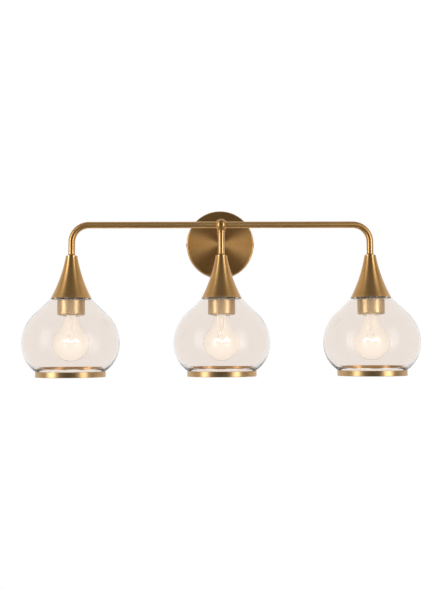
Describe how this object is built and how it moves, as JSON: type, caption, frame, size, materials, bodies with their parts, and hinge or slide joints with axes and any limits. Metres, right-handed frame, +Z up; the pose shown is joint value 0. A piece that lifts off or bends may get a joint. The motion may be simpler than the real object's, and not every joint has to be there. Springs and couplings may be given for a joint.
{
  "type": "vanity light bar",
  "caption": "Wall-mounted brass vanity bar: a round canopy and tube bar with drops to clear onion-shaped glass shades open at the bottom, over screw-in lamps.",
  "frame": {"origin": "centre of the canopy's back rim, on the wall", "axes": "+Z up, +X to the right seen from the front, +Y into the wall"},
  "size_m": [0.655, 0.2095, 0.2936],
  "materials": {
    "brass": "aged, fine brushed",
    "zinc_steel": "zinc plated",
    "ground_green": "green",
    "connector_plastic": "moulded",
    "lead_black": "insulated",
    "lead_white": "insulated",
    "ceramic": "glazed ceramic",
    "shell_metal": "pressed",
    "shade_glass": "clear",
    "gasket_rubber": "soft",
    "bulb_glass": "clear",
    "bulb_metal": "pressed thread",
    "bulb_insulator": "black glass",
    "bulb_mount": "glass stem with wires"
  },
  "bodies": {
    "fixture": {"canopy": "brass", "mounting_crossbar": "zinc_steel", "canopy_side_screws": "brass", "ground_screw": "ground_green", "wire_connectors": "connector_plastic", "stem_tube": "brass", "stem_nipple": "zinc_steel", "stem_washer": "zinc_steel", "stem_nut": "zinc_steel", "hub_ball": "brass", "left_arm": "brass", "right_arm": "brass", "centre_drop_tube": "brass", "black_leads": "lead_black", "white_leads": "lead_white", "ground_lead": "ground_green", "lamp_nipples": "zinc_steel", "cone_lock_nuts": "zinc_steel", "left_collar": "brass", "left_cone": "brass", "left_lampholder": "ceramic", "left_screw_shell": "shell_metal", "left_centre_contact": "shell_metal", "centre_collar": "brass", "centre_cone": "brass", "centre_lampholder": "ceramic", "centre_screw_shell": "shell_metal", "centre_centre_contact": "shell_metal", "right_collar": "brass", "right_cone": "brass", "right_lampholder": "ceramic", "right_screw_shell": "shell_metal", "right_centre_contact": "shell_metal"},
    "left_shade_body": {"left_shade": "shade_glass", "left_trim_ring": "brass", "left_shade_gasket": "gasket_rubber"},
    "left_clamp_ring": {"left_retaining_ring": "brass"},
    "left_bulb": {"left_bulb_glass": "bulb_glass", "left_bulb_base": "bulb_metal", "left_bulb_tip": "bulb_insulator", "left_bulb_mount": "bulb_mount"},
    "centre_shade_body": {"centre_shade": "shade_glass", "centre_trim_ring": "brass", "centre_shade_gasket": "gasket_rubber"},
    "centre_clamp_ring": {"centre_retaining_ring": "brass"},
    "centre_bulb": {"centre_bulb_glass": "bulb_glass", "centre_bulb_base": "bulb_metal", "centre_bulb_tip": "bulb_insulator", "centre_bulb_mount": "bulb_mount"},
    "right_shade_body": {"right_shade": "shade_glass", "right_trim_ring": "brass", "right_shade_gasket": "gasket_rubber"},
    "right_clamp_ring": {"right_retaining_ring": "brass"},
    "right_bulb": {"right_bulb_glass": "bulb_glass", "right_bulb_base": "bulb_metal", "right_bulb_tip": "bulb_insulator", "right_bulb_mount": "bulb_mount"}
  },
  "joints": [
    {"name": "left_ring_turn", "type": "hinge", "parent": "left_shade_body", "child": "left_clamp_ring", "pos_m": [-0.248, -0.13, -0.1199], "axis": [0, 0, -1], "range_deg": [0, 1440]},
    {"name": "left_shade_drop", "type": "slide", "parent": "fixture", "child": "left_shade_body", "axis": [0, 0, -1], "range_m": [0, 0.0101]},
    {"name": "left_bulb_out", "type": "slide", "parent": "fixture", "child": "left_bulb", "axis": [0, 0, -1], "range_m": [0, 0.14]},
    {"name": "centre_ring_turn", "type": "hinge", "parent": "centre_shade_body", "child": "centre_clamp_ring", "pos_m": [0, -0.13, -0.1199], "axis": [0, 0, -1], "range_deg": [0, 1440]},
    {"name": "centre_shade_drop", "type": "slide", "parent": "fixture", "child": "centre_shade_body", "axis": [0, 0, -1], "range_m": [0, 0.0101]},
    {"name": "centre_bulb_out", "type": "slide", "parent": "fixture", "child": "centre_bulb", "axis": [0, 0, -1], "range_m": [0, 0.14]},
    {"name": "right_ring_turn", "type": "hinge", "parent": "right_shade_body", "child": "right_clamp_ring", "pos_m": [0.248, -0.13, -0.1199], "axis": [0, 0, -1], "range_deg": [0, 1440]},
    {"name": "right_shade_drop", "type": "slide", "parent": "fixture", "child": "right_shade_body", "axis": [0, 0, -1], "range_m": [0, 0.0101]},
    {"name": "right_bulb_out", "type": "slide", "parent": "fixture", "child": "right_bulb", "axis": [0, 0, -1], "range_m": [0, 0.14]}
  ],
  "couplings": [
    {"joint": "left_shade_drop", "follows": "left_ring_turn", "m_per_rad": 0.00039789},
    {"joint": "centre_shade_drop", "follows": "centre_ring_turn", "m_per_rad": 0.00039789},
    {"joint": "right_shade_drop", "follows": "right_ring_turn", "m_per_rad": 0.00039789}
  ]
}
